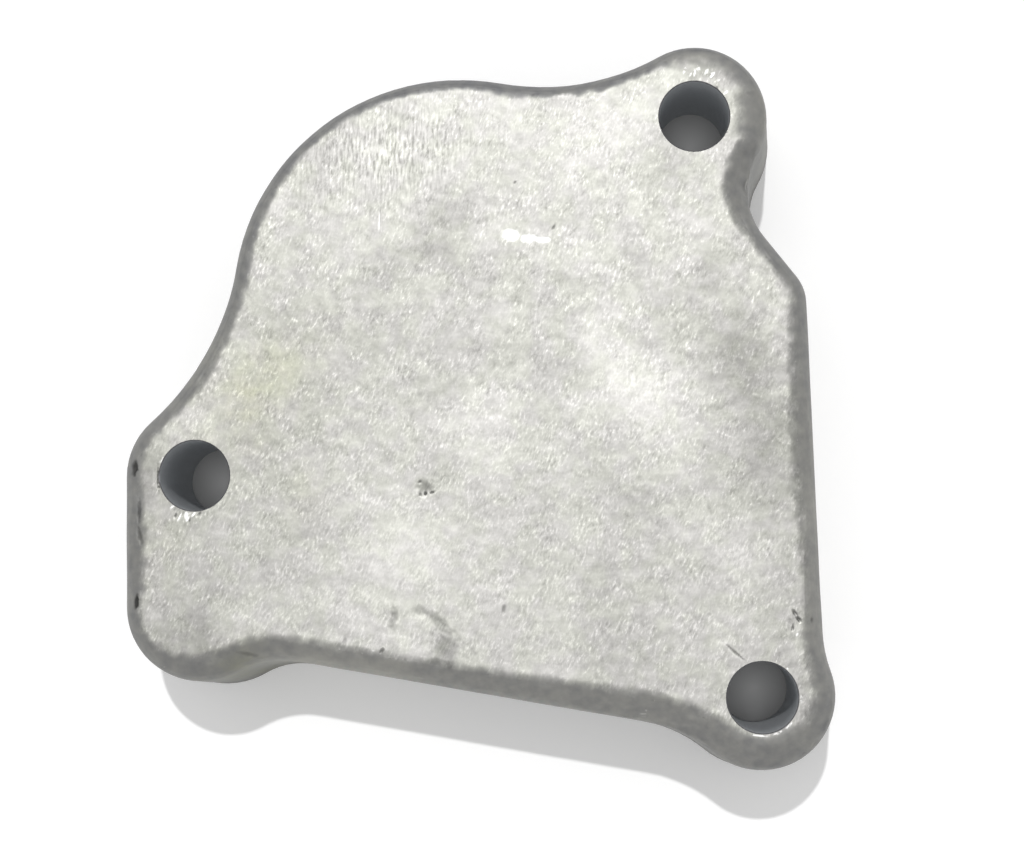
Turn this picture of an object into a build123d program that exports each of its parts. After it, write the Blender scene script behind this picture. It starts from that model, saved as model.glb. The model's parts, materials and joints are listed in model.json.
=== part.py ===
"""Cast aluminium timing cover: a shallow lid held by three bolts, with a cavity behind its face."""

from math import acos, atan2, cos, degrees, hypot, radians, sin, sqrt
import os

from build123d import *

# The cover stands on its sealing face at z = 0 with its outer face up.
# Bolt hole A is the origin, and the straight side below bolt hole B runs along Y.

# Bolt holes, with clearance for M6
bolt_hole_diameter = 6.6
hole_b_x = -47.5
hole_b_y = -33.2
hole_c_x = 5.4
hole_c_y = -54.5
hole_rim_break = 0.1

# Convex arcs of the outline at the sealing face
boss_radius = 7.8
plain_corner_radius = 8.0
plain_corner_drop = 12.3
lobe_x = -22.7
lobe_y = -17.1
lobe_radius = 22.3
shoulder_x = 6.2
shoulder_y = -17.6
shoulder_radius = 5.0

# Straight edges of the outline: how far each round stands out past the edge that runs up to it
plain_corner_past_lower_edge = 3.5
boss_c_past_lower_edge = 2.7
boss_c_past_right_edge = 0.9
boss_a_past_shoulder_edge = 8.75

# Concave arcs of the outline, each the radius that joins two of its other forms
waist_lobe_to_b = 24.7
waist_corner_to_edge = 7.0
waist_edge_to_c = 13.0
waist_c_to_edge = 12.0
waist_shoulder_to_a = 6.0
waist_a_to_lobe = 22.0

# Casting
cast_height = 18.0
draft = 3.3
edge_round = 3.0
wall = 3.0
face_thickness = 3.0
core_draft = 2.0
core_bevel = 1.0
column_wall = 3.5
column_corner_radius = 2.5

# The outer face is ground flat: least at bolt hole C, and deeper towards the lobe
grind_depth = 0.09
grind_tilt = 0.65
grind_heading = 98.0

column_radius = bolt_hole_diameter / 2 + column_wall
bolt_holes = [(0, 0), (hole_b_x, hole_b_y), (hole_c_x, hole_c_y)]

# An arc of an outline is (x, y, r): its centre, and its radius with r over 0 where it is convex
# and under 0 where it is concave. Outlines run anticlockwise, with their outside on the right.
# A straight edge is (x, y, heading): a point on it, and the angle at which the outline runs there.


def unit(heading):
    """The unit vector at an angle in degrees."""
    return cos(radians(heading)), sin(radians(heading))


def between(before, after, r):
    """The arc of radius r that touches two arcs of an outline and leads from one to the other."""
    dx, dy = after[0] - before[0], after[1] - before[1]
    span = hypot(dx, dy)
    reach_before, reach_after = abs(before[2] - r), abs(after[2] - r)
    along = (span**2 + reach_before**2 - reach_after**2) / (2 * span)
    across = sqrt(reach_before**2 - along**2)
    if r < 0:
        across = -across
    x = before[0] + (along * dx - across * dy) / span
    y = before[1] + (along * dy + across * dx) / span
    return x, y, r


def beside_edge(edge, arc, r, ahead):
    """The arc of radius r that touches a straight edge and the arc ahead of it, or behind it."""
    ux, uy = unit(edge[2])
    x, y = edge[0] - r * uy, edge[1] + r * ux
    along = (arc[0] - x) * ux + (arc[1] - y) * uy
    across = (arc[1] - y) * ux - (arc[0] - x) * uy
    reach = sqrt((arc[2] - r) ** 2 - across**2)
    along += -reach if ahead else reach
    return x + along * ux, y + along * uy, r


def touch_angle(before, after):
    """The outward direction of the points where one straight line touches two arcs."""
    dx, dy = after[0] - before[0], after[1] - before[1]
    lead = round((before[2] - after[2]) / hypot(dx, dy), 9)
    return degrees(atan2(dy, dx) - acos(lead))


def touch_point(arc, angle):
    """The point of an arc where the outward direction is this angle."""
    ux, uy = unit(angle)
    return arc[0] + arc[2] * ux, arc[1] + arc[2] * uy


def edge_between(before, after):
    """The straight edge that touches two arcs."""
    angle = touch_angle(before, after)
    return *touch_point(before, angle), angle + 90


def inset(arc, distance):
    """The arc moved into the outline."""
    return arc[0], arc[1], arc[2] - distance


def inset_edge(edge, distance):
    """The straight edge moved into the outline."""
    ux, uy = unit(edge[2])
    return edge[0] - distance * uy, edge[1] + distance * ux, edge[2]


def draw_outline(arcs):
    """Draws the closed outline, with a straight edge between two arcs that don't touch."""
    following = arcs[1:] + arcs[:1]
    ends = [touch_angle(arc, after) for arc, after in zip(arcs, following)]
    starts = ends[-1:] + ends[:-1]
    for arc, after, start, end in zip(arcs, following, starts, ends):
        x, y, r = arc
        turn = (end - start) % 360
        if r > 0:
            CenterArc((x, y), r, start, turn)
        else:
            CenterArc((x, y), -r, start + 180, turn - 360)
        edge_start, edge_end = touch_point(arc, end), touch_point(after, end)
        if hypot(edge_end[0] - edge_start[0], edge_end[1] - edge_start[1]) > 1e-6:
            Line(edge_start, edge_end)


# Convex forms
boss_a, boss_b, boss_c = [(x, y, boss_radius) for x, y in bolt_holes]
lobe = (lobe_x, lobe_y, lobe_radius)
shoulder = (shoulder_x, shoulder_y, shoulder_radius)
plain_corner = (
    hole_b_x - boss_radius + plain_corner_radius,
    hole_b_y - plain_corner_drop,
    plain_corner_radius,
)

# Straight edges
left_edge = edge_between(boss_b, plain_corner)
lower_edge = edge_between(
    inset(plain_corner, plain_corner_past_lower_edge), inset(boss_c, boss_c_past_lower_edge)
)
right_edge = edge_between(inset(boss_c, boss_c_past_right_edge), shoulder)
shoulder_edge = edge_between(shoulder, inset(boss_a, boss_a_past_shoulder_edge))

# Concave forms
lobe_to_b = between(lobe, boss_b, -waist_lobe_to_b)
corner_to_edge = beside_edge(lower_edge, plain_corner, -waist_corner_to_edge, False)
edge_to_c = beside_edge(lower_edge, boss_c, -waist_edge_to_c, True)
c_to_edge = beside_edge(right_edge, boss_c, -waist_c_to_edge, False)
shoulder_to_a = beside_edge(shoulder_edge, boss_a, -waist_shoulder_to_a, True)
a_to_lobe = between(boss_a, lobe, -waist_a_to_lobe)

outline = [
    lobe,
    lobe_to_b,
    boss_b,
    plain_corner,
    corner_to_edge,
    edge_to_c,
    boss_c,
    c_to_edge,
    shoulder,
    shoulder_to_a,
    boss_a,
    a_to_lobe,
]


def corner_by_arc(before, after):
    """The round corner of the cavity between a curved stretch of its wall and a bolt column."""
    return between(before, after, column_corner_radius)


def corner_by_edge(edge, column, ahead):
    """The round corner of the cavity between a straight stretch of its wall and a bolt column."""
    return beside_edge(inset_edge(edge, wall), column, column_corner_radius, ahead)


# Bolt columns, and the stretches of the cavity's wall that lead to them
column_a, column_b, column_c = [(x, y, -column_radius) for x, y in bolt_holes]
wall_to_b = inset(lobe_to_b, wall)
wall_to_a = inset(shoulder_to_a, wall)
wall_from_a = inset(a_to_lobe, wall)

cavity_outline = [
    inset(lobe, wall),
    wall_to_b,
    corner_by_arc(wall_to_b, column_b),
    column_b,
    corner_by_edge(left_edge, column_b, False),
    inset(plain_corner, wall),
    inset(corner_to_edge, wall),
    corner_by_edge(lower_edge, column_c, True),
    column_c,
    corner_by_edge(right_edge, column_c, False),
    inset(shoulder, wall),
    wall_to_a,
    corner_by_arc(wall_to_a, column_a),
    column_a,
    corner_by_arc(column_a, wall_from_a),
    wall_from_a,
]

with BuildSketch() as footprint:
    with BuildLine():
        draw_outline(outline)
    make_face()

with BuildSketch() as cavity:
    with BuildLine():
        draw_outline(cavity_outline)
    make_face()

fall_x, fall_y = unit(grind_heading)
fall = sin(radians(grind_tilt))
ground_face = Plane(
    origin=(hole_c_x, hole_c_y, cast_height - grind_depth),
    z_dir=(fall * fall_x, fall * fall_y, cos(radians(grind_tilt))),
)
cavity_depth = cast_height - face_thickness

with BuildPart() as cover:
    # Drafted body with its edge rounded
    extrude(footprint.sketch, amount=cast_height, taper=draft)
    fillet(cover.faces().sort_by(Axis.Z)[-1].edges(), edge_round)

    # Cavity behind the face, open at the sealing face
    extrude(cavity.sketch, amount=cavity_depth, taper=core_draft, mode=Mode.SUBTRACT)
    chamfer(cover.edges().filter_by_position(Axis.Z, cavity_depth, cavity_depth), core_bevel)

    # Face ground flat, then the bolt holes right through
    split(bisect_by=ground_face, keep=Keep.BOTTOM)
    with Locations(*bolt_holes):
        Hole(bolt_hole_diameter / 2)
    chamfer(cover.faces().sort_by(Axis.Z)[-1].inner_wires().edges(), hole_rim_break)

os.makedirs("parts", exist_ok=True)
cover.part.label = "timing_cover"
export_step(cover.part, "parts/timing_cover.step")
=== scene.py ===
"""Looks of the cast aluminium timing cover: its cast, ground and machined surfaces, light, floor and camera."""

from math import ceil, cos, exp, hypot, radians, sin, sqrt
import json

import bmesh
import bpy
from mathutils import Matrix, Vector, noise
from mathutils.kdtree import KDTree


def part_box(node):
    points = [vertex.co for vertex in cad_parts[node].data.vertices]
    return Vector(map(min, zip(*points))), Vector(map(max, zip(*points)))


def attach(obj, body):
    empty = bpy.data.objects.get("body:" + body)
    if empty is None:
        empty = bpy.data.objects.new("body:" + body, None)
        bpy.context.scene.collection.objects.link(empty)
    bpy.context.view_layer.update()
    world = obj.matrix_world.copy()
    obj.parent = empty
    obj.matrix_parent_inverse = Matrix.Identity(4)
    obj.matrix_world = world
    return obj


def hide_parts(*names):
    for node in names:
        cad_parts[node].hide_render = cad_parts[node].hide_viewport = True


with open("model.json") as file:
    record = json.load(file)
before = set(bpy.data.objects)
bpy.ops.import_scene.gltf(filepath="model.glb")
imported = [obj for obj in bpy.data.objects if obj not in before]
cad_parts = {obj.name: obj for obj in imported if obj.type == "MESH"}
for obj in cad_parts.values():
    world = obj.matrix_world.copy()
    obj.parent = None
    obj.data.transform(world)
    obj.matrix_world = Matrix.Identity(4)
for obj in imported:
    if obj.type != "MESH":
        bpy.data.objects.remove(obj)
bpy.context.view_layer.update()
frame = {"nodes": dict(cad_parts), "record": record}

MM = 0.001
COVER = "timing_cover"
ROOT = "root"

# The record gives the bolt holes, and the other places on the cover are measured from bolt hole A
bores = [mount for mount in frame["record"]["mounts"] if mount["kind"] == "bore"]
bolt_holes = [Vector(mount["pos_m"]) for mount in bores]
bore_radius = bores[0]["dims"]["r_mm"] * MM
cover_low, cover_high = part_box(COVER)

# Zones of the casting, in the order of its materials
SKIN, GROUND, BORE, RIM, SEALING, CAVITY = range(6)

coarser = 1
face_cell = 0.36 * MM * coarser
rounding_cell = 0.6 * MM * coarser
wall_cell = 1.3 * MM * coarser
cavity_cell = 2.6 * MM * coarser
mark_cuts = 3
rim_cuts = 1
rim_cells_reach = 1.3
rounding_height = 3.4 * MM

# Depths under the ground face at which the rounding is cut into strips that follow its upper edge
strip_depths = [depth * MM for depth in (0.03, 0.06, 0.1, 0.15, 0.22, 0.4, 0.7, 1.1, 1.6)]

# Waves left by casting and by grinding
skin_wave_depth = 0.06 * MM
skin_wave_length = 4.5 * MM
grind_wave_low = 0.03 * MM
grind_wave_depth = 0.06 * MM
grind_wave_length = 6.0 * MM
tumbling_depth = 0.02 * MM
tumbling_length = 0.9 * MM
rim_height = 0.4 * MM

# The grinding stops short of the edge of the face and fades out there, in millimetres: the usual width of
# the rim that it leaves dull, the usual width of the change, how far the rim wanders, and how round it is
dull_rim = 0.24
dull_rim_fade = 0.6
dull_rim_wander = 0.22
dull_rim_wander_length = 1.1 * MM
worn_edge_radius = 2.5

# Where that rim is wider or narrower, and where its change is softer, in millimetres: x, y, heading in
# degrees, half length, half width, difference
wider_rims = {
    "top of the lobe": (-20.0, 3.3, 0, 7.0, 3.0, 0.08),
    "left waist": (-43.0, -14.0, 80, 11.0, 4.0, 0.24),
    "left edge": (-52.8, -39.0, 90, 6.0, 3.0, 0.22),
    "between the lobe and the ear": (-8.0, 3.3, 0, 6.0, 3.0, 0.20),
    "plain corner": (-52.2, -47.5, 115, 3.2, 2.5, -0.55),
    "lower left corner": (-45.5, -50.6, 10, 5.0, 2.5, 0.36),
    "right half of the lower edge": (-4.0, -55.0, -10, 11.0, 3.5, 0.36),
    "right of bolt hole C": (10.0, -54.5, 90, 4.5, 2.5, -0.40),
    "lower right edge": (9.2, -43.5, 90, 8.0, 2.5, -0.75),
    "right edge": (9.0, -25.0, 90, 11.0, 3.0, -0.10),
    "neck of the ear": (4.3, -5.6, 80, 4.3, 3.0, 1.10),
}
softer_rims = {
    "left waist": (-47.0, -25.0, 60, 4.0, 3.0, 0.5),
    "left edge": (-52.8, -42.0, 90, 7.0, 3.0, 0.5),
    "lower left edge": (-40.0, -50.0, 0, 14.0, 3.0, 0.4),
    "lower edge": (-14.0, -53.0, -10, 18.0, 3.5, 0.4),
    "right of bolt hole C": (10.0, -55.0, 90, 5.0, 2.5, 0.8),
    "right edge": (9.1, -33.0, 90, 16.0, 3.0, 1.4),
    "neck of the ear": (4.3, -8.0, 80, 7.0, 3.0, 0.8),
}

# Depths over which the waves of the cast skin set in below the ground face
skin_wave_start = 0.2 * MM
skin_wave_full = 0.8 * MM

# Two bosses are rounder than the rest and keep their cast skin there: heading in degrees of the worn side,
# the cosines of the angles from it at which that side begins and is full, then in millimetres the radius
# that is still flat, the radius of the rounding and the width of its edge
worn_bosses = [
    (bolt_holes[0], 60, 0.3, 0.8, 4.2, 5.0, 2.4),
    (bolt_holes[0], 0, 0.85, 0.98, 3.6, 5.0, 1.8),
    (bolt_holes[2], -94, 0.45, 0.9, 3.3, 9.0, 0.8),
]
boss_reach = 5.0

# Marks darker or brighter than this have crisp edges, and fainter ones fade out
crisp_tone = 0.62

# Marks on the outer face in millimetres: x, y, heading in degrees, half length, half width, depth, and
# tone, from 1 for dark dirt to -1 for bare bright metal. The glints are painted highlights in the bright
# colour, and the crease in the waist is painted shade in the dark one
face_marks = {
    "stained pit": (-25.75, -34.65, 0, 1.05, 1.00, 0.05, 0.42),
    "lower dot of the pit": (-25.7, -35.2, 70, 0.24, 0.16, 0.06, 0.85),
    "left dot of the pit": (-26.2, -35.3, 80, 0.22, 0.14, 0.04, 0.65),
    "right dot of the pit": (-25.1, -35.1, 20, 0.30, 0.15, 0.05, 0.75),
    "upper dot of the pit": (-26.2, -34.1, 60, 0.24, 0.20, 0.04, 0.6),
    "scratch at bolt hole C": (2.90, -50.30, -42, 1.70, 0.13, 0.05, 0.55),
    "upper nick at the right edge": (8.50, -46.70, -55, 0.42, 0.20, 0.08, 0.5),
    "middle nick at the right edge": (8.85, -47.3, -50, 0.42, 0.24, 0.12, 0.62),
    "lower nick at the right edge": (8.30, -48.1, 80, 0.40, 0.18, 0.06, 0.45),
    # Painted highlight: a bright glint on the right edge
    "glint at the right edge": (8.68, -48.7, 60, 0.24, 0.13, 0.0, -0.8),
    "nick on the right rounding": (10.1, -47.4, 80, 0.34, 0.22, 0.08, 0.5),
    "dash": (-18.5, -46.05, 82, 0.65, 0.25, 0.04, 0.42),
    "dull dent": (-28.8, -46.8, 82, 1.30, 0.55, 0.02, 0.42),
    "start of the soft groove": (-25.9, -46.3, -25, 1.70, 0.70, 0.02, 0.24),
    "bend of the soft groove": (-24.5, -47.4, -42, 1.80, 0.90, 0.03, 0.38),
    "end of the soft groove": (-23.9, -49.6, 79, 2.50, 1.80, 0.02, 0.42),
    # Painted shade: a dark line where the rounding meets the wall in the waist, over a shallow dent
    "painted shade in the crease of the waist": (-42.6, -50.0, -12, 1.30, 0.30, 0.05, 0.35),
    "chip in the lower edge": (-29.95, -49.85, 50, 0.40, 0.20, 0.10, 0.5),
    # Painted highlight beside the chip
    "glint beside the chip": (-30.75, -49.8, 0, 0.18, 0.12, 0.0, -0.4),
    "stroke near the lower edge": (-33.4, -48.85, 75, 0.60, 0.26, 0.02, 0.32),
    "upper flaw on the left rounding": (-53.2, -32.4, 84, 0.95, 0.36, 0.22, 0.9),
    "middle flaw on the left rounding": (-52.80, -36.6, 88, 1.6, 0.30, 0.12, 0.45),
    "end of the middle flaw": (-52.75, -38.7, 102, 1.1, 0.34, 0.12, 0.52),
    "lower flaw on the left rounding": (-53.1, -45.0, 86, 0.90, 0.34, 0.22, 0.95),
    "faint smear": (-24.9, -9.5, 48, 3.0, 1.0, 0.0, 0.13),
    "dark stroke beside the scuff": (-13.4, -10.3, 62, 0.45, 0.14, 0.04, 0.6),
    "dark speck above the scuff": (-16.95, -5.95, 60, 0.25, 0.13, 0.03, 0.6),
    "left stroke at the top": (-25.7, -2.4, 86, 0.40, 0.11, 0.02, 0.35),
    "middle stroke at the top": (-25.2, -2.7, 86, 0.45, 0.11, 0.02, 0.45),
    "right stroke at the top": (-24.4, -2.4, 84, 0.35, 0.11, 0.02, 0.3),
    "scuff": (-17.4, -10.95, -3, 1.05, 0.72, 0.02, -1.0),
    "middle of the scuff": (-15.85, -11.25, 0, 0.85, 0.50, 0.02, -1.0),
    "thin end of the scuff": (-14.5, -11.4, -5, 1.1, 0.30, 0.02, -0.9),
    "hairline scratch": (-29.85, -9.3, 88, 1.5, 0.09, 0.02, -0.55),
    "dark gap at the rim of bolt hole B": (-50.92, -33.5, 92, 1.70, 0.12, 0.10, 0.7),
    "left burr of bolt hole B": (-48.9, -37.05, 62, 0.55, 0.09, 0.0, -0.8),
    "middle burr of bolt hole B": (-48.3, -36.9, 75, 0.42, 0.24, 0.0, -1.0),
    "tail of the middle burr": (-48.15, -37.25, 60, 0.36, 0.12, 0.0, -0.9),
    "right burr of bolt hole B": (-47.6, -36.85, 50, 0.34, 0.11, 0.0, -0.9),
    # Painted highlights at the rim of bolt hole B
    "glint at the left of bolt hole B": (-50.5, -31.7, 60, 0.40, 0.14, 0.0, -0.8),
    "glint at the lower left of bolt hole B": (-49.6, -36.1, 35, 0.30, 0.12, 0.0, -0.8),
    "nick in the burr of bolt hole B": (-47.95, -37.35, 75, 0.30, 0.10, 0.0, 0.7),
    "left nick beside the burrs": (-49.3, -36.95, 72, 0.36, 0.12, 0.05, 0.65),
    "right nick beside the burrs": (-47.1, -36.85, 50, 0.40, 0.13, 0.05, 0.55),
    "first stroke above bolt hole A": (-0.85, 4.35, 75, 0.40, 0.10, 0.0, -0.8),
    "second stroke above bolt hole A": (-0.3, 3.95, 60, 0.30, 0.09, 0.0, -0.6),
    "third stroke above bolt hole A": (0.1, 4.1, 80, 0.42, 0.08, 0.0, -0.7),
    "fourth stroke above bolt hole A": (0.5, 4.55, 70, 0.26, 0.10, 0.0, -0.6),
    "fifth stroke above bolt hole A": (1.2, 4.2, 55, 0.50, 0.16, 0.0, -0.6),
    "sixth stroke above bolt hole A": (1.75, 3.85, 48, 0.40, 0.13, 0.0, -0.75),
    "seventh stroke above bolt hole A": (2.35, 3.35, 40, 0.24, 0.09, 0.0, -0.6),
    # Painted highlight at the right of bolt hole A
    "glint at the right of bolt hole A": (3.0, 2.2, 35, 0.26, 0.13, 0.0, -0.75),
    # Painted highlights: glints along the rim of bolt hole C
    "lower glint at the rim of bolt hole C": (4.97, -57.99, -7, 0.85, 0.12, 0.0, -1.0),
    "middle glint at the rim of bolt hole C": (6.72, -57.76, 22, 0.60, 0.10, 0.0, -0.9),
    "right glint at the rim of bolt hole C": (7.8, -57.07, 43, 0.65, 0.10, 0.0, -0.9),
    "faint glint at the rim of bolt hole C": (8.92, -54.68, 87, 0.55, 0.09, 0.0, -0.7),
    "upper glint at the rim of bolt hole C": (7.8, -51.95, -44, 0.40, 0.10, 0.0, -0.9),
}

# Where the face is stained olive, and where the grinding strokes stand upright, in millimetres:
# x, y, heading in degrees, half length, half width, strength
olive_stains = {
    "beside the way down to bolt hole B": (-42.0, -26.0, 50, 7.0, 4.0, 0.85),
    "right of bolt hole B": (-37.5, -35.5, 80, 4.0, 2.5, 0.3),
    "left end": (-50.5, -40.0, 80, 3.5, 2.0, 0.5),
    "wall at the plain corner": (-43.5, -52.0, 25, 3.5, 2.5, 1.0),
}
upright_strokes = {
    "upper left": (-29.5, -3.0, 10, 8.0, 4.5, 1.0),
}

# How bright the ground face is, and places that are brighter or duller than the rest, in millimetres:
# x, y, heading in degrees, half length, half width, difference; the bright place right of the middle is
# a painted reflection of the wavy ground face
face_tone = 0.461
face_patches = {
    "duller along the top": (-17.0, -0.5, 3, 17.0, 4.5, -0.09),
    "brightest beside the ear": (-9.5, -1.5, 0, 4.0, 3.0, 0.17),
    # Painted reflection: the wavy ground face shining right of the middle
    "bright right of the middle": (-6.5, -25.5, -43, 7.0, 3.6, 0.35),
    "bright below the pit": (-27.0, -40.8, 0, 5.0, 3.5, 0.33),
    "bright right of the pit": (-20.0, -29.5, 0, 4.0, 4.0, 0.20),
    "duller on the lobe": (-36.8, -5.2, 45, 5.0, 4.0, -0.10),
    "bright at the lower right": (-0.5, -38.5, 0, 3.5, 3.0, 0.09),
    "bright along the lower edge": (-22.0, -50.0, -8, 26.0, 7.0, 0.23),
    "dull left end": (-46.0, -37.0, 80, 13.0, 8.0, -0.05),
    "dull below the bright place": (-6.0, -33.8, -45, 6.0, 2.6, -0.00),
    "dull along the right edge": (5.0, -26.0, -80, 13.0, 4.0, -0.32),
    "dull at the smear": (-23.3, -9.9, 40, 6.0, 2.2, -0.19),
    "dull across the upper middle": (-26.0, -17.0, 0, 16.0, 7.0, -0.14),
    "dull at the plain corner": (-47.8, -48.2, 45, 3.0, 3.0, -0.31),
    "dull below the ear": (-2.2, -4.5, 0, 3.5, 4.5, -0.18),
    "bright left of bolt hole C": (3.9, -42.1, 0, 3.0, 3.0, 0.29),
    "bright left of the pit": (-30.7, -35.0, 0, 3.0, 3.0, 0.21),
    "dull in the middle": (-12.6, -22.9, 0, 3.0, 3.0, -0.21),
    "dull near the lower edge": (-8.5, -50.9, -10, 4.0, 2.5, -0.23),
    "bright on the way down to bolt hole B": (-46.6, -28.0, 50, 3.0, 3.0, 0.19),
    "dull left of the middle": (-35.5, -24.8, 0, 3.5, 3.5, -0.10),
    "bright at the top of the lobe": (-21.3, 1.0, 0, 4.0, 2.0, 0.10),
    "dull below the shoulder": (-2.4, -18.5, 0, 3.5, 3.0, -0.10),
    "dull at the upper left": (-33.8, -2.0, 45, 3.5, 2.5, -0.10),
    "bright above the dash": (-18.4, -39.6, 0, 3.5, 3.5, 0.09),
    "bright at the left of the lobe": (-39.6, -8.8, 70, 3.5, 2.5, 0.10),
    "bright below the middle": (-14.9, -31.8, 0, 3.5, 3.0, 0.09),
    "dull right of bolt hole A": (4.4, 0.2, 95, 3.2, 1.2, -0.20),
    "dull above bolt hole A": (1.0, 4.4, -10, 3.5, 1.1, -0.45),
    "dull left of bolt hole B": (-52.0, -33.0, 90, 4.5, 1.1, -0.25),
}

# Places where the cast skin is paler or darker than the rest, as above; the pale place above bolt hole A is a
# painted highlight
skin_patches = {
    "top of the lobe and beside it": (-22.0, 4.5, 0, 19.0, 3.5, -0.30),
    "upper left of the lobe": (-39.5, -2.0, 55, 7.0, 3.5, -0.20),
    "top of the ear": (0.5, 7.0, 0, 4.5, 1.3, -0.40),
    # Painted highlight on the rounding above bolt hole A
    "above bolt hole A": (0.3, 5.7, 0, 1.8, 0.6, 0.60),
    "right of the ear": (6.8, 0.5, 90, 3.5, 1.6, 0.25),
    "lower left edge": (-33.5, -52.0, -8, 8.0, 2.2, 0.50),
    "middle of the lower edge": (-12.0, -55.0, -10, 8.0, 2.2, 0.15),
    "right edge": (10.2, -38.0, 90, 14.0, 2.0, 0.20),
}

# Camera, at the angle from which the photograph was taken
camera_place = Vector((-6.517, -42.224, 248.954)) * MM
camera_turn = (radians(3.2753), radians(2.7617), radians(-0.7042))
camera_lens = 87.12
sensor_width = 36.0

# Light
fill_strength = 0.62
key_direction = Vector((-28.0, 456.0, 1167.0))
key_strength = 1.45
key_angle = radians(1.2)
floor_size = 3.0
floor_glow = 0.12
# Painted light: a glow on the floor under each bolt hole, brightest under its middle
painted_hole_light = 0.12

# Colours of the metal
skin_colour = "8f9090"
face_shade = "898986"
face_light = "cbcbc8"
olive_stain = "ebedd8"
warm_tint = "fffdfd"
olive_tint = "fffffa"
# Dirt and the painted shade of the crease share the dark colour; bare metal and the painted glints the bright one
dirt_and_shade_colour = "343432"
bare_metal = "f6f6f4"
skin_dark = "6c6d70"
skin_light = "9c9b95"
bore_colour = "c8cbce"
rim_colour = "77777a"
# Painted shade: the floor under the bolt holes is darker than the rest
painted_hole_shade = "8c8c8c"
sharp_angle = radians(38)


def linear(colour):
    """The linear colour of an sRGB hex value such as c8c8c0."""
    parts = [int(colour[place : place + 2], 16) / 255 for place in (0, 2, 4)]
    return [part / 12.92 if part <= 0.04045 else ((part + 0.055) / 1.055) ** 2.4 for part in parts] + [1.0]


def faces_reached(start, turn):
    """The faces reached from one of them across edges that turn by less than an angle."""
    reached = {start}
    waiting = [start]
    while waiting:
        for edge in waiting.pop().edges:
            for face in edge.link_faces:
                if face not in reached and edge.calc_face_angle(0) < turn:
                    reached.add(face)
                    waiting.append(face)
    return reached


def zone_of(face, outer):
    """The zone of a face of the CAD mesh, told by where it lies and how it faces."""
    middle = face.calc_center_median()
    if face.normal.z < -0.99 and middle.z < cover_low.z + 0.01 * MM:
        return SEALING
    if face in outer:
        return GROUND if face.normal.z > 0.9999 else SKIN
    if any((middle - hole).xy.length < bore_radius + 0.3 * MM for hole in bolt_holes):
        return BORE
    return CAVITY


def zone_faces(bm, zone):
    return [face for face in bm.faces if face.material_index == zone]


def cut_row(bm, faces, axis, low, high, cell):
    """Cuts faces into strips of one cell across an axis, by halving the row until it is that narrow."""
    cells = round((high - low) / cell)
    if cells < 2 or not faces:
        return faces
    middle = low + cells // 2 * cell
    place, normal = Vector(), Vector()
    place[axis], normal[axis] = middle, 1
    around = set(faces)
    for face in faces:
        around.update(face.edges)
        around.update(face.verts)
    cut = bmesh.ops.bisect_plane(bm, geom=list(around), dist=1e-8, plane_co=place, plane_no=normal)
    parts = [part for part in cut["geom"] if isinstance(part, bmesh.types.BMFace)]
    below = [part for part in parts if part.calc_center_median()[axis] < middle]
    above = [part for part in parts if part.calc_center_median()[axis] >= middle]
    return cut_row(bm, below, axis, low, middle, cell) + cut_row(bm, above, axis, middle, high, cell)


def cut_strips(bm, faces, place, normal, depths):
    """Cuts faces along planes at some depths under another plane."""
    for depth in depths:
        around = set(faces)
        for face in faces:
            around.update(face.edges)
            around.update(face.verts)
        cut = bmesh.ops.bisect_plane(
            bm, geom=list(around), dist=1e-8, plane_co=place - normal * depth, plane_no=normal
        )
        faces = [part for part in cut["geom"] if isinstance(part, bmesh.types.BMFace)]
    return faces


def cut_grid(bm, faces, cell, axes, low=cover_low, high=cover_high):
    """Cuts faces into cells by planes across each of the axes."""
    for axis in axes:
        cells = ceil((high[axis] - low[axis]) / cell)
        faces = cut_row(bm, faces, axis, low[axis], low[axis] + cells * cell, cell)
    return faces


def longest_side(face):
    return max(edge.calc_length() for edge in face.edges)


def merged_casting():
    """A merged copy of the CAD mesh, with each face marked by its zone and flat areas in one piece."""
    bm = bmesh.new()
    bm.from_mesh(frame["nodes"][COVER].data)
    bmesh.ops.remove_doubles(bm, verts=bm.verts, dist=0.0005 * MM)
    bm.normal_update()
    top = max(bm.faces, key=lambda face: face.calc_area() if face.normal.z > 0.9999 else 0)
    outer = faces_reached(top, radians(35))
    for face in bm.faces:
        face.material_index = zone_of(face, outer)
        face.smooth = True
    for edge in bm.edges:
        zones = {face.material_index for face in edge.link_faces}
        edge.smooth = zones <= {SKIN, GROUND} or edge.calc_face_angle(0) < sharp_angle
    for zone in (GROUND, SEALING):
        flat = zone_faces(bm, zone)
        inside = {edge for face in flat for edge in face.edges if edge.calc_face_angle(1) < radians(0.1)}
        corners = {corner for edge in inside for corner in edge.verts}
        bmesh.ops.dissolve_limit(
            bm, angle_limit=radians(0.1), verts=list(corners), edges=list(inside), delimit={"MATERIAL"}
        )
    return bm


def mark_frame(mark):
    """The middle of a mark in metres and its directions along and across."""
    x, y, heading = mark[:3]
    along = Vector((cos(radians(heading)), sin(radians(heading))))
    return Vector((x, y)) * MM, along, Vector((-along.y, along.x))


def face_edge(bm):
    """The edge of the ground face, seen from above, as a tree of points along it."""
    points = []
    for edge in bm.edges:
        if {face.material_index for face in edge.link_faces} == {GROUND, SKIN}:
            first, last = [corner.co for corner in edge.verts]
            points += [first.lerp(last, share).xy.to_3d() for share in (0, 1 / 3, 2 / 3, 1)]
    tree = KDTree(len(points))
    for number, point in enumerate(points):
        tree.insert(point, number)
    tree.balance()
    return tree


def edge_distance(tree, place):
    """How far a place is from the edge of the ground face, seen from above, in millimetres."""
    return tree.find(place.xy.to_3d())[2] / MM


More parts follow.
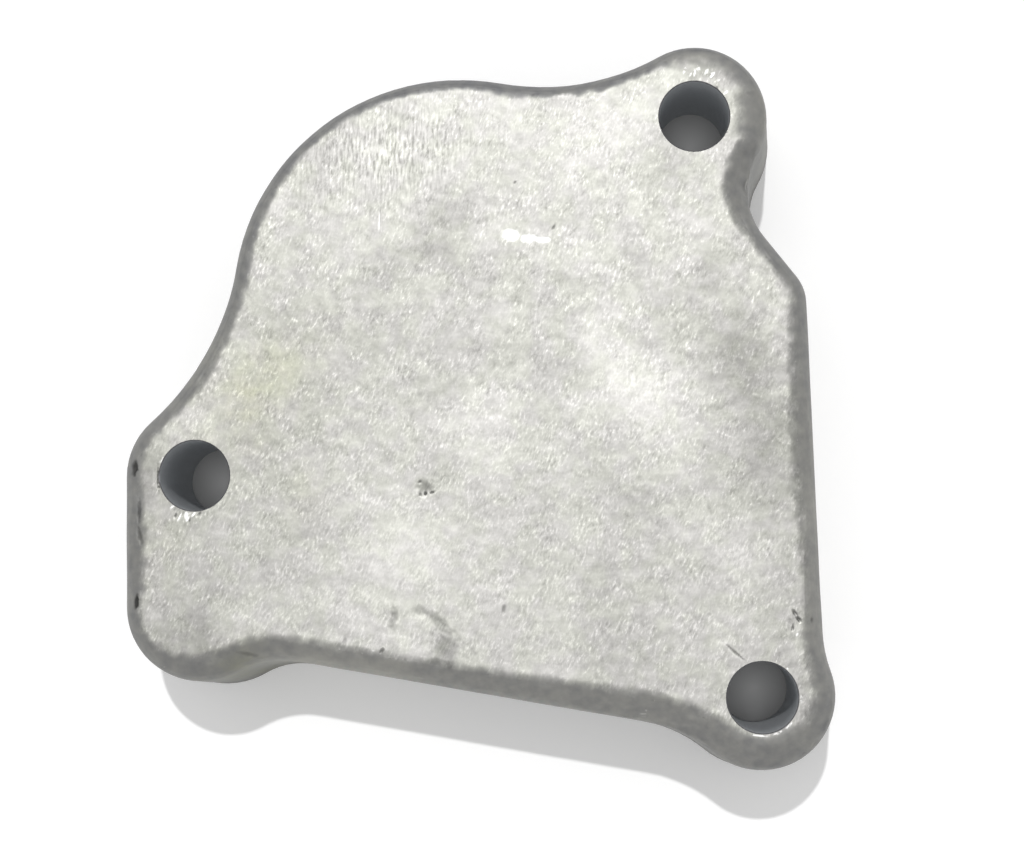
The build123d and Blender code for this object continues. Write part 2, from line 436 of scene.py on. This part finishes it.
def near_a_mark(place):
    """Whether a place on the outer face lies in a mark or just beside it."""
    for mark in face_marks.values():
        middle, along, across = mark_frame(mark)
        offset = place.xy - middle
        if abs(offset.dot(along)) < mark[3] * MM + face_cell and abs(offset.dot(across)) < mark[4] * MM + face_cell:
            return place.z > cover_high.z - rounding_height
    return False


def refine(bm, faces, cuts):
    """Cuts the mesh finer at some faces."""
    edges = list({edge for face in faces for edge in face.edges})
    bmesh.ops.subdivide_edges(bm, edges=edges, cuts=cuts, use_grid_fill=True)


def refine_surface(bm, tree):
    """Cuts the mesh finer along the edge of the ground face and where the marks lie."""
    ground = zone_faces(bm, GROUND)
    refine(bm, [face for face in ground if edge_distance(tree, face.calc_center_median()) < rim_cells_reach], rim_cuts)
    outside = zone_faces(bm, GROUND) + zone_faces(bm, SKIN)
    refine(bm, [face for face in outside if near_a_mark(face.calc_center_median())], mark_cuts)


def wave(place, length, seed):
    """A smooth random wave between 0 and 1, about one length from crest to crest."""
    return min(max(0.5 + 0.5 * noise.noise(place / length + Vector((seed, 0, 0))) * 1.4, 0), 1)


def mark_share(place, mark):
    """How much of a mark's depth reaches a place, from 1 in its middle to 0 at its end."""
    middle, along, across = mark_frame(mark)
    offset = place.xy - middle
    ragged = 1 + 0.35 * noise.noise(place / (0.4 * MM))
    reach = hypot(offset.dot(along) / mark[3], offset.dot(across) / mark[4]) / MM * ragged
    return (1 - reach**2) ** 2 if reach < 1 else 0


def spread(place, patches):
    """The sum of some soft patches at a place."""
    total = 0
    for patch in patches.values():
        middle, along, across = mark_frame(patch)
        offset = (place.xy - middle) / MM
        total += patch[5] * exp(-((offset.dot(along) / patch[3]) ** 2) - (offset.dot(across) / patch[4]) ** 2)
    return total


def smooth_step(value, low, high):
    """0 below one value and 1 above another, with a smooth change between them."""
    share = min(max((value - low) / (high - low), 0), 1)
    return share * share * (3 - 2 * share)


def boss_wear(place):
    """How far a boss is worn down at a place, and how much of the grinding is missing there."""
    drop = loss = 0
    for hole, heading, begins, full, flat, rounding, edge in worn_bosses:
        away = (place - hole).xy
        past = away.length / MM - flat
        if 0 < past < boss_reach:
            outward = away.normalized().dot(Vector((cos(radians(heading)), sin(radians(heading)))))
            share = smooth_step(outward, begins, full)
            drop = max(drop, share * (rounding - sqrt(rounding**2 - past**2)) * MM)
            loss = max(loss, share * smooth_step(past, 0, edge))
    return drop, loss


def rim_wear(place, inside):
    """How far the edge of the face is worn down at a place, and how much of the grinding reaches it."""
    wander = dull_rim_wander * (2 * wave(place, dull_rim_wander_length, 5.0) - 1)
    rim = dull_rim + spread(place, wider_rims) + wander
    fade = dull_rim_fade + spread(place, softer_rims)
    past = max(rim + fade / 2 - inside, 0)
    return past**2 / (2 * worn_edge_radius) * MM, smooth_step(inside, rim - fade / 2, rim + fade / 2)


def ground_plane(bm):
    """A point of the ground face and its direction."""
    top = max(zone_faces(bm, GROUND), key=lambda face: face.calc_area())
    return top.verts[0].co.copy(), top.normal.copy()


def shape_surface(bm, tree, ground_place, ground_normal):
    """Waves, wear and marks: every point only moves inwards, so the cover keeps its CAD size."""
    names = ("ground", "tone", "skin", "olive", "upright", "dirt_and_shade", "bare")
    ground, tone, skin, olive, upright, dirt_and_shade, bare = [bm.verts.layers.float.new(name) for name in names]
    bm.normal_update()
    for vert in bm.verts:
        zones = {face.material_index for face in vert.link_faces}
        place, normal = vert.co.copy(), vert.normal.copy()
        above = (place - ground_place).dot(ground_normal)
        if SEALING in zones or CAVITY in zones or (zones == {BORE} and above < -rim_height):
            continue
        if zones == {SKIN}:
            share = smooth_step(-above, skin_wave_start, skin_wave_full)
            vert.co -= normal * share * skin_wave_depth * wave(place, skin_wave_length, 7.0)
        vert[olive] = spread(place, olive_stains)
        vert[skin] = spread(place, skin_patches)
        if place.z < cover_high.z - rounding_height:
            continue
        inside = edge_distance(tree, place) * (-1 if zones == {SKIN} else 1)
        drop, loss = boss_wear(place)
        rim_drop, reached = rim_wear(place, inside)
        worn = grind_wave_low + grind_wave_depth * wave(place, grind_wave_length, 3.0) + max(drop, rim_drop)
        worn += tumbling_depth * wave(place, tumbling_length, 11.0)
        if zones == {BORE}:
            vert.co -= ground_normal * worn
            continue
        above += worn
        vert[ground] = (1 - loss) * reached
        if above > 0:
            vert.co -= ground_normal * above
        vert[tone] = min(max(face_tone + spread(place, face_patches), 0), 1)
        vert[upright] = spread(place, upright_strokes)
        for mark in face_marks.values():
            share = mark_share(place, mark)
            if share > 0:
                vert.co -= normal * share * mark[5] * MM
                # Dark marks: dirt and the painted shade of the crease; bright marks: bare metal and the painted glints
                layer = dirt_and_shade if mark[6] > 0 else bare
                share *= 2.2 if abs(mark[6]) > crisp_tone else 1.2
                vert[layer] = max(vert[layer], min(1, share) * abs(mark[6]))


def mark_rims(bm):
    """Tells the broken edge of each bolt hole from its bore."""
    for face in zone_faces(bm, BORE):
        if face.normal.z > 0.3:
            face.material_index = RIM


def build_cover():
    """The cover's own mesh: the CAD mesh cut fine enough to carry its cast and ground surface."""
    bm = merged_casting()
    ground_place, ground_normal = ground_plane(bm)
    cut_grid(bm, zone_faces(bm, GROUND), face_cell, (0, 1))
    tree = face_edge(bm)
    skin = zone_faces(bm, SKIN)
    edge = cover_high.z - rounding_height
    rounding = [face for face in skin if face.calc_center_median().z > edge]
    wall = [face for face in skin if face.calc_center_median().z <= edge]
    rounding = cut_grid(bm, rounding, rounding_cell, (0, 1))
    cut_strips(bm, rounding, ground_place, ground_normal, strip_depths)
    wall = cut_grid(bm, wall, wall_cell, (2,))
    cut_grid(bm, [face for face in wall if longest_side(face) > 2 * wall_cell], wall_cell, (0, 1))
    cavity = cut_grid(bm, zone_faces(bm, CAVITY), cavity_cell, (2,))
    cut_grid(bm, [face for face in cavity if longest_side(face) > 2 * cavity_cell], cavity_cell, (0, 1))
    refine_surface(bm, tree)
    bmesh.ops.dissolve_degenerate(bm, dist=0.002 * MM, edges=bm.edges)
    bmesh.ops.triangulate(bm, faces=bm.faces)
    shape_surface(bm, tree, ground_place, ground_normal)
    mark_rims(bm)
    mesh = bpy.data.meshes.new("cast_cover")
    bm.to_mesh(mesh)
    bm.free()
    return mesh


def add(material, kind, settings=None, **links):
    """Adds a node to a material, with its settings and what its inputs are linked to or set to."""
    node = material.node_tree.nodes.new("ShaderNode" + kind)
    for name, value in (settings or {}).items():
        setattr(node, name, value)
    for name, value in links.items():
        name = name.replace("_", " ")
        socket = node.inputs[int(name[2:])] if name.startswith("in") and name[2:].isdigit() else node.inputs[name]
        if isinstance(value, bpy.types.NodeSocket):
            material.node_tree.links.new(value, socket)
        else:
            socket.default_value = value
    return node


def new_material(name):
    """An empty node material, and its output's surface socket."""
    material = bpy.data.materials.new(name)
    material.use_nodes = True
    material.node_tree.nodes.clear()
    return material


def finish_material(material, surface):
    output = add(material, "OutputMaterial")
    material.node_tree.links.new(surface, output.inputs["Surface"])
    return material


def cast_aluminium():
    """Die-cast aluminium alloy, tumbled, with its outer face ground: dull grey skin on the rounding and
    the walls, and a brighter satin face with short bright and dark grinding strokes, cloudy patches and
    thin olive stains."""
    m = new_material("cast_aluminium")
    place = add(m, "TexCoord").outputs["Object"]
    names = ("ground", "tone", "skin", "olive", "upright", "dirt_and_shade", "bare")
    ground, tone, skin, olive, upright, dirt_and_shade, bare = [
        add(m, "Attribute", {"attribute_name": name}).outputs["Fac"] for name in names
    ]

    # Strokes of the grinding, about 0.5 mm long and 0.2 mm wide, which gather in some places
    leaning = add(
        m, "Mapping", {"vector_type": "TEXTURE"}, Vector=place,
        Rotation=(0, 0, radians(67)), Scale=(0.52 * MM, 0.23 * MM, 0.4 * MM),
    ).outputs["Vector"]
    strokes = add(m, "TexNoise", Vector=leaning, Scale=1.0, Detail=2.0, Roughness=0.6, Distortion=0.25).outputs["Fac"]
    standing = add(
        m, "Mapping", {"vector_type": "TEXTURE"}, Vector=place,
        Rotation=(0, 0, radians(88)), Scale=(1.1 * MM, 0.24 * MM, 0.4 * MM),
    ).outputs["Vector"]
    streaks = add(m, "TexNoise", Vector=standing, Scale=1.0, Detail=1.5, Roughness=0.5).outputs["Fac"]
    gathering = add(m, "TexNoise", Vector=place, Scale=1 / (2.2 * MM), Detail=2.0).outputs
    gathered = gathering["Fac"]
    mottle = add(m, "TexNoise", Vector=place, Scale=1 / (1.0 * MM), Detail=2.0).outputs["Fac"]
    clouds = add(m, "TexNoise", Vector=place, Scale=1 / (4 * MM), Detail=4.0, Roughness=0.6).outputs["Fac"]

    amount = add(m, "MapRange", in0=gathered, in1=0.38, in2=0.66, in3=0.35, in4=1.5).outputs[0]
    contrast = add(m, "MapRange", in0=tone, in1=0.2, in2=0.45, in3=0.62, in4=1.05).outputs[0]
    amount = add(m, "Math", {"operation": "MULTIPLY"}, in0=amount, in1=contrast).outputs[0]
    stroke = add(m, "Math", {"operation": "SUBTRACT"}, in0=strokes, in1=0.5).outputs[0]
    stroke = add(m, "Math", {"operation": "MULTIPLY"}, in0=stroke, in1=amount).outputs[0]
    speck = add(m, "MapRange", in0=strokes, in1=0.60, in2=0.80, in3=0.0, in4=0.6).outputs[0]
    speck = add(m, "Math", {"operation": "MULTIPLY"}, in0=speck, in1=amount).outputs[0]
    streak = add(m, "MapRange", {"clamp": False}, in0=streaks, in1=0.0, in2=1.0, in3=-1.0, in4=1.0).outputs[0]
    streak = add(m, "Math", {"operation": "MULTIPLY"}, in0=streak, in1=upright).outputs[0]
    cloud = add(m, "MapRange", {"clamp": False}, in0=clouds, in1=0.3, in2=0.7, in3=-0.09, in4=0.09).outputs[0]
    blotch = add(m, "MapRange", {"clamp": False}, in0=mottle, in1=0.3, in2=0.7, in3=-0.09, in4=0.09).outputs[0]
    level = add(m, "Math", {"operation": "ADD"}, in0=tone, in1=cloud).outputs[0]
    level = add(m, "Math", {"operation": "ADD"}, in0=level, in1=blotch).outputs[0]
    level = add(m, "Math", {"operation": "ADD"}, in0=level, in1=speck).outputs[0]
    level = add(m, "Math", {"operation": "ADD"}, in0=level, in1=streak).outputs[0]
    level = add(m, "Math", {"operation": "MULTIPLY_ADD"}, in0=stroke, in1=1.0, in2=level).outputs[0]
    bright = add(m, "Mix", {"data_type": "RGBA"}, in0=level, in6=linear(face_shade), in7=linear(face_light)).outputs[2]

    # Faint warm and olive tints, in places of about 2 mm
    tint = add(m, "SeparateColor", Color=gathering["Color"]).outputs["Green"]
    tint = add(m, "MapRange", in0=tint, in1=0.4, in2=0.6, in3=0.0, in4=1.0).outputs[0]
    tint = add(m, "Mix", {"data_type": "RGBA"}, in0=tint, in6=linear(olive_tint), in7=linear(warm_tint)).outputs[2]
    bright = add(m, "Mix", {"data_type": "RGBA", "blend_type": "MULTIPLY"}, in0=1.0, in6=bright, in7=tint).outputs[2]
    stain = add(m, "MapRange", in0=clouds, in1=0.4, in2=0.7, in3=0.2, in4=1.0).outputs[0]
    stain = add(m, "Math", {"operation": "MULTIPLY"}, in0=stain, in1=olive).outputs[0]

    # The grinding ends raggedly
    left = add(m, "Math", {"operation": "SUBTRACT"}, in0=1.0, in1=ground).outputs[0]
    between = add(m, "Math", {"operation": "MULTIPLY"}, in0=ground, in1=left).outputs[0]
    ragged = add(m, "MapRange", {"clamp": False}, in0=mottle, in1=0.0, in2=1.0, in3=-1.5, in4=1.5).outputs[0]
    ground = add(m, "Math", {"operation": "MULTIPLY_ADD", "use_clamp": True}, in0=ragged, in1=between, in2=ground).outputs[0]

    # Cast skin: mottled grey, paler or darker in places, with a painted highlight above bolt hole A
    skin = add(m, "Math", {"operation": "MULTIPLY_ADD"}, in0=mottle, in1=0.6, in2=skin).outputs[0]
    skin = add(m, "Math", {"operation": "MULTIPLY_ADD"}, in0=clouds, in1=0.6, in2=skin).outputs[0]
    skin = add(m, "Math", {"operation": "SUBTRACT"}, in0=skin, in1=0.1).outputs[0]
    dull = add(m, "Mix", {"data_type": "RGBA"}, in0=skin, in6=linear(skin_dark), in7=linear(skin_light)).outputs[2]
    colour = add(m, "Mix", {"data_type": "RGBA"}, in0=ground, in6=dull, in7=bright).outputs[2]
    colour = add(m, "Mix", {"data_type": "RGBA", "blend_type": "MULTIPLY"}, in0=stain, in6=colour, in7=linear(olive_stain)).outputs[2]
    # Bare metal and the painted glints in one bright colour, dirt and the painted shade of the crease in a dark one
    colour = add(m, "Mix", {"data_type": "RGBA"}, in0=bare, in6=colour, in7=linear(bare_metal)).outputs[2]
    colour = add(m, "Mix", {"data_type": "RGBA"}, in0=dirt_and_shade, in6=colour, in7=linear(dirt_and_shade_colour)).outputs[2]

    metal = add(m, "MapRange", in0=ground, in1=0.0, in2=1.0, in3=0.5, in4=1.0).outputs[0]
    rough = add(m, "MapRange", in0=ground, in1=0.0, in2=1.0, in3=0.6, in4=0.5).outputs[0]
    bump = add(m, "Bump", Height=mottle, Distance=0.04 * MM, Strength=0.5).outputs["Normal"]
    bump = add(m, "Bump", Height=strokes, Distance=0.01 * MM, Strength=0.6, Normal=bump).outputs["Normal"]
    shader = add(m, "BsdfPrincipled", Base_Color=colour, Metallic=metal, Roughness=rough, Normal=bump)
    return finish_material(m, shader.outputs["BSDF"])


def plain_metal(name, colour, metallic, roughness, grain_length, grain_depth):
    """A metal surface of one colour with an even grain, duller where it is less metallic."""
    m = new_material(name)
    place = add(m, "TexCoord").outputs["Object"]
    grain = add(m, "TexNoise", Vector=place, Scale=1 / grain_length, Detail=2.0).outputs["Fac"]
    bump = add(m, "Bump", Height=grain, Distance=grain_depth, Strength=1.0).outputs["Normal"]
    shade = add(m, "Mix", {"data_type": "RGBA"}, in0=grain, in6=[c * 0.85 for c in linear(colour)], in7=linear(colour)).outputs[2]
    shader = add(m, "BsdfPrincipled", Base_Color=shade, Metallic=metallic, Roughness=roughness, Normal=bump)
    return finish_material(m, shader.outputs["BSDF"])


def pale_floor():
    """Matt white board: it takes the shadow and shows white where it is open to the light; under the bolt holes it is
    painted darker, with a painted glow brightest under each hole's middle.
    """
    m = new_material("white_board")
    path = add(m, "LightPath").outputs
    seen = add(m, "Math", {"operation": "MAXIMUM"}, in0=path["Is Camera Ray"], in1=path["Is Glossy Ray"]).outputs[0]
    seen = add(m, "Math", {"operation": "MAXIMUM"}, in0=seen, in1=path["Is Transmission Ray"]).outputs[0]
    place = add(m, "TexCoord").outputs["Object"]
    strength = add(m, "Math", {"operation": "MULTIPLY"}, in0=seen, in1=floor_glow).outputs[0]
    under_hole, painted_hole_glow = 0.0, 0.0
    # Painted shade and light under each bolt hole: a darker floor with a glow that fades from the middle to the wall
    for hole in bolt_holes:
        away = add(m, "VectorMath", {"operation": "DISTANCE"}, in0=place, in1=hole).outputs["Value"]
        inside = add(m, "Math", {"operation": "LESS_THAN"}, in0=away, in1=bore_radius * 1.3).outputs[0]
        under_hole = add(m, "Math", {"operation": "MAXIMUM"}, in0=inside, in1=under_hole).outputs[0]
        painted_light_falloff = add(m, "MapRange", in0=away, in1=0.0, in2=bore_radius, in3=painted_hole_light * 1.1, in4=painted_hole_light * 0.4).outputs[0]
        painted_hole_glow = add(m, "Math", {"operation": "MULTIPLY_ADD"}, in0=inside, in1=painted_light_falloff, in2=painted_hole_glow).outputs[0]
    strength = add(m, "Mix", {"data_type": "FLOAT"}, in0=under_hole, in2=strength, in3=painted_hole_glow).outputs[0]
    white = add(m, "Mix", {"data_type": "RGBA"}, in0=under_hole, in6=linear("fbfbfb"), in7=linear(painted_hole_shade)).outputs[2]
    matt = add(m, "BsdfDiffuse", Color=white).outputs[0]
    glow = add(m, "Emission", Color=linear("ffffff"), Strength=strength).outputs[0]
    return finish_material(m, add(m, "AddShader", in0=matt, in1=glow).outputs[0])


def add_cover():
    cover = bpy.data.objects.new("cast_cover", build_cover())
    bpy.context.scene.collection.objects.link(cover)
    shading = cover.modifiers.new("shading_by_large_faces", "WEIGHTED_NORMAL")
    shading.mode = "FACE_AREA"
    shading.weight = 90
    shading.keep_sharp = True
    materials = {
        SKIN: cast_aluminium(),
        BORE: plain_metal("drilled_aluminium", bore_colour, 0.4, 0.6, 0.5 * MM, 0.02 * MM),
        RIM: plain_metal("broken_edge", rim_colour, 0.7, 0.5, 0.3 * MM, 0.02 * MM),
        SEALING: plain_metal("milled_aluminium", face_light, 1.0, 0.3, 0.3 * MM, 0.01 * MM),
        CAVITY: plain_metal("cast_aluminium_inside", skin_colour, 0.35, 0.65, 0.5 * MM, 0.05 * MM),
    }
    materials[GROUND] = materials[SKIN]
    for zone in sorted(materials):
        cover.data.materials.append(materials[zone])
    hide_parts(COVER)
    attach(cover, ROOT)


def add_floor():
    bm = bmesh.new()
    bmesh.ops.create_grid(bm, x_segments=1, y_segments=1, size=floor_size / 2)
    mesh = bpy.data.meshes.new("floor")
    bm.to_mesh(mesh)
    bm.free()
    mesh.materials.append(pale_floor())
    floor = bpy.data.objects.new("floor", mesh)
    bpy.context.scene.collection.objects.link(floor)


def add_light():
    world = bpy.data.worlds.new("soft_fill")
    world.use_nodes = True
    background = world.node_tree.nodes["Background"]
    background.inputs["Color"].default_value = linear("ffffff")
    background.inputs["Strength"].default_value = fill_strength
    bpy.context.scene.world = world
    lamp = bpy.data.lights.new("key_lamp", "SUN")
    lamp.energy = key_strength
    lamp.angle = key_angle
    key = bpy.data.objects.new("key_lamp", lamp)
    key.rotation_euler = key_direction.to_track_quat("Z", "Y").to_euler()
    bpy.context.scene.collection.objects.link(key)


def add_camera():
    data = bpy.data.cameras.new("camera")
    data.sensor_width = sensor_width
    data.lens = camera_lens
    data.clip_start = 0.01
    camera = bpy.data.objects.new("camera", data)
    camera.location = camera_place
    camera.rotation_euler = camera_turn
    bpy.context.scene.collection.objects.link(camera)
    bpy.context.scene.camera = camera


bpy.context.scene.view_settings.view_transform = "Standard"
add_cover()
add_floor()
add_light()
add_camera()
